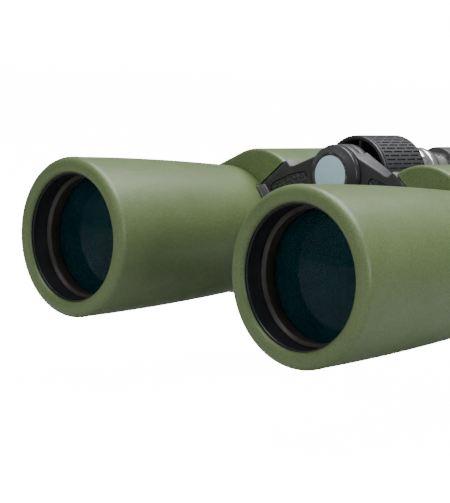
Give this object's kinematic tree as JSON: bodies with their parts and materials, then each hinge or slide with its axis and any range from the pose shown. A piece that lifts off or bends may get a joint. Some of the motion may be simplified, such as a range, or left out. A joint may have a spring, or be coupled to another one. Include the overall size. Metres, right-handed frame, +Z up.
{
  "type": "binoculars",
  "caption": "Porro-prism binoculars with green rubber armour, a centre hinge, a ribbed focus wheel, sliding eyepieces and twist-up eyecups.",
  "frame": {"origin": "middle of the bounding box in plan, at the height of the barrel rims' lowest point", "axes": "+Z up, -Y the way the binoculars look, +X the user's left; the barrels and the hinge run along Y"},
  "size_m": [0.2016, 0.1924, 0.08],
  "materials": {
    "green_rubber": "fine-grained matte rubber armour",
    "black_plastic": "black satin with a fine grain",
    "black_rubber": "black textured rubber",
    "matte_black": "anodised dead black",
    "bright_metal": "polished",
    "steel": "turned steel",
    "pale_blue": "plain satin inlay",
    "coated_glass": "polished, teal anti-reflection coating",
    "clear_glass": "polished"
  },
  "bodies": {
    "left_half": {"left_armour": "green_rubber", "left_prism_housing": "black_plastic", "left_arm_panel": "black_rubber", "left_objective_tube": "matte_black", "left_lens_retainer": "matte_black", "left_crown_lens": "coated_glass", "left_flint_lens": "clear_glass", "left_rear_prism": "clear_glass", "left_front_prism": "clear_glass", "left_prism_shelf": "steel", "left_rear_cover": "black_plastic", "left_lower_screw": "steel", "left_upper_screw": "steel", "left_strap_lug": "black_plastic", "left_hinge_bush": "bright_metal", "hinge_cap": "black_plastic", "cap_inlay": "pale_blue", "hinge_axle": "steel", "front_washer": "steel", "hinge_collar": "bright_metal", "collar_seal": "black_rubber"},
    "right_half": {"right_armour": "green_rubber", "right_prism_housing": "black_plastic", "right_arm_panel": "black_rubber", "right_objective_tube": "matte_black", "right_lens_retainer": "matte_black", "right_crown_lens": "coated_glass", "right_flint_lens": "clear_glass", "right_rear_prism": "clear_glass", "right_front_prism": "clear_glass", "right_prism_shelf": "steel", "right_rear_cover": "black_plastic", "right_lower_screw": "steel", "right_upper_screw": "steel", "right_strap_lug": "black_plastic", "right_hinge_bush": "bright_metal"},
    "wheel": {"focus_wheel": "black_plastic", "focus_wheel_grip": "black_rubber"},
    "left_carriage": {"focus_spindle": "bright_metal", "bridge_cap": "black_plastic", "left_bridge_arm": "black_plastic", "left_eyepiece_tube": "black_plastic", "left_lens_cell": "matte_black", "left_field_lens": "clear_glass", "left_eye_lens": "coated_glass", "left_trim_ring": "black_rubber"},
    "right_carriage": {"right_bridge_arm": "black_plastic", "right_eyepiece_tube": "black_plastic"},
    "diopter": {"diopter_ring": "black_rubber"},
    "right_ocular": {"right_lens_cell": "matte_black", "right_field_lens": "clear_glass", "right_eye_lens": "coated_glass"},
    "left_cup_sleeve": {"left_eyecup_sleeve": "black_plastic"},
    "left_cup": {"left_eyecup": "black_rubber"},
    "right_cup_sleeve": {"right_eyecup_sleeve": "black_plastic"},
    "right_cup": {"right_eyecup": "black_rubber"}
  },
  "joints": [
    {"name": "fold", "type": "hinge", "parent": "left_half", "child": "right_half", "pos_m": [0, 0, 0.063], "axis": [0, 1, 0], "range_deg": [-24, 24]},
    {"name": "focus_turn", "type": "hinge", "parent": "left_half", "child": "wheel", "pos_m": [0, 0.023, 0.063], "axis": [0, 1, 0], "range_deg": [-45, 180]},
    {"name": "left_focus_slide", "type": "slide", "parent": "left_half", "child": "left_carriage", "axis": [0, 1, 0], "range_m": [-0.001, 0.004]},
    {"name": "right_focus_slide", "type": "slide", "parent": "right_half", "child": "right_carriage", "axis": [0, 1, 0], "range_m": [-0.001, 0.004]},
    {"name": "diopter_turn", "type": "hinge", "parent": "right_carriage", "child": "diopter", "pos_m": [-0.033, 0.08, 0.0414], "axis": [0, 1, 0], "range_deg": [-60, 60]},
    {"name": "diopter_slide", "type": "slide", "parent": "right_carriage", "child": "right_ocular", "axis": [0, 1, 0], "range_m": [-0.0012, 0.0012]},
    {"name": "left_cup_slide", "type": "slide", "parent": "left_carriage", "child": "left_cup_sleeve", "axis": [0, 1, 0], "range_m": [0, 0.006]},
    {"name": "left_cup_twist", "type": "hinge", "parent": "left_cup_sleeve", "child": "left_cup", "pos_m": [0.033, 0.09, 0.0414], "axis": [0, 1, 0], "range_deg": [0, 120]},
    {"name": "right_cup_slide", "type": "slide", "parent": "right_carriage", "child": "right_cup_sleeve", "axis": [0, 1, 0], "range_m": [0, 0.006]},
    {"name": "right_cup_twist", "type": "hinge", "parent": "right_cup_sleeve", "child": "right_cup", "pos_m": [-0.033, 0.09, 0.0414], "axis": [0, 1, 0], "range_deg": [0, 120]}
  ],
  "couplings": [
    {"joint": "right_focus_slide", "follows": "left_focus_slide", "ratio": 1},
    {"joint": "focus_turn", "follows": "left_focus_slide", "rad_per_m": 785.39},
    {"joint": "diopter_turn", "follows": "diopter_slide", "rad_per_m": 872.66},
    {"joint": "left_cup_twist", "follows": "left_cup_slide", "rad_per_m": 349},
    {"joint": "right_cup_twist", "follows": "right_cup_slide", "rad_per_m": 349}
  ]
}
